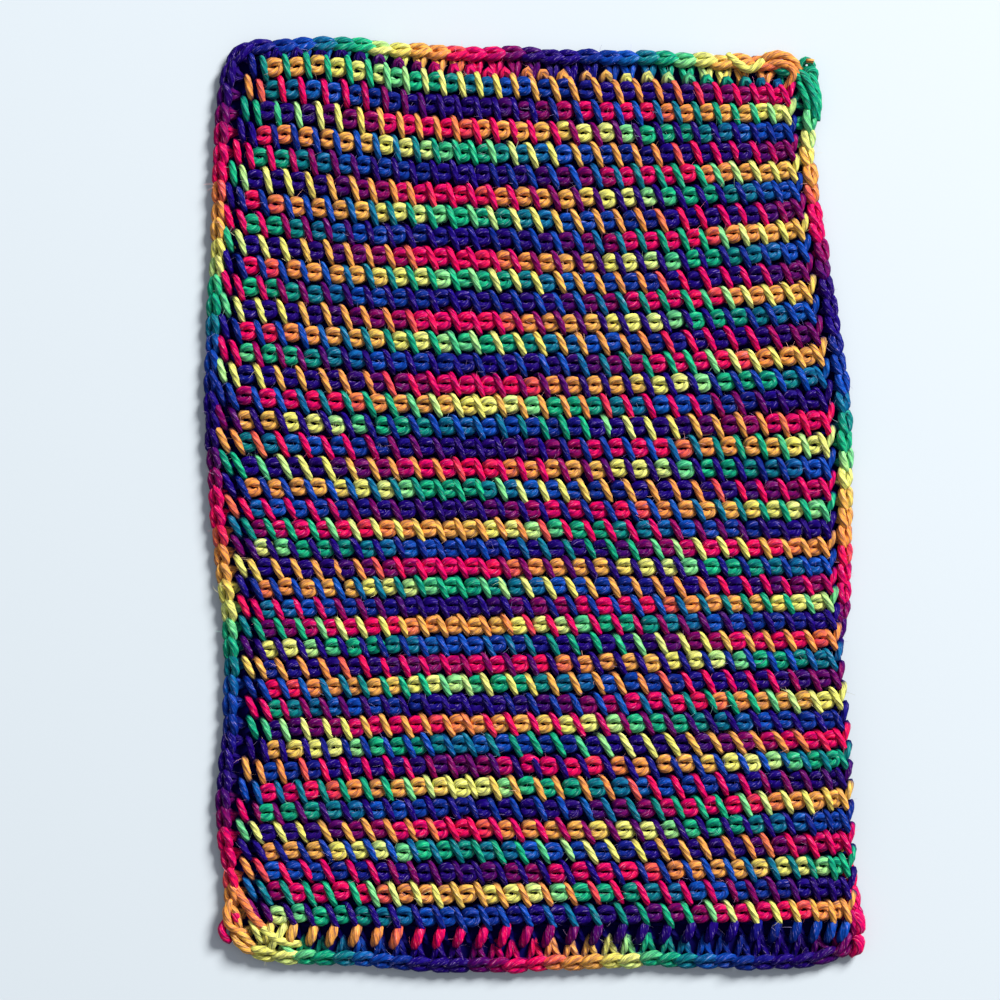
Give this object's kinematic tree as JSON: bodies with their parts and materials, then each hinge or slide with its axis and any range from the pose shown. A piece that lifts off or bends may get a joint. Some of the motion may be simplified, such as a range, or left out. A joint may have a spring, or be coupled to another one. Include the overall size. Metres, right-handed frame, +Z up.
{
  "type": "crochet mat",
  "caption": "Flat oblong mat in thick Tunisian crochet with a ribbed face and a looped single-crochet edging; lies on a table, shelf or sill.",
  "frame": {"origin": "on the surface that the mat lies on, under the middle of its outline", "axes": "+Z up from the surface; +Y along the mat's length, from the foundation chain to the last row; +X across it, to the right of someone looking down with +Y away"},
  "size_m": [0.2112, 0.2998, 0.0066],
  "materials": {
    "panel_yarn": "soft space-dyed acrylic yarn, short repeats of red, orange, yellow, green, blue and purple",
    "edging_yarn": "the same space-dyed acrylic yarn in single crochet, so the colours run in long stretches"
  },
  "bodies": {
    "root": {"stitch_field": "panel_yarn", "crochet_edging": "edging_yarn"}
  },
  "joints": []
}
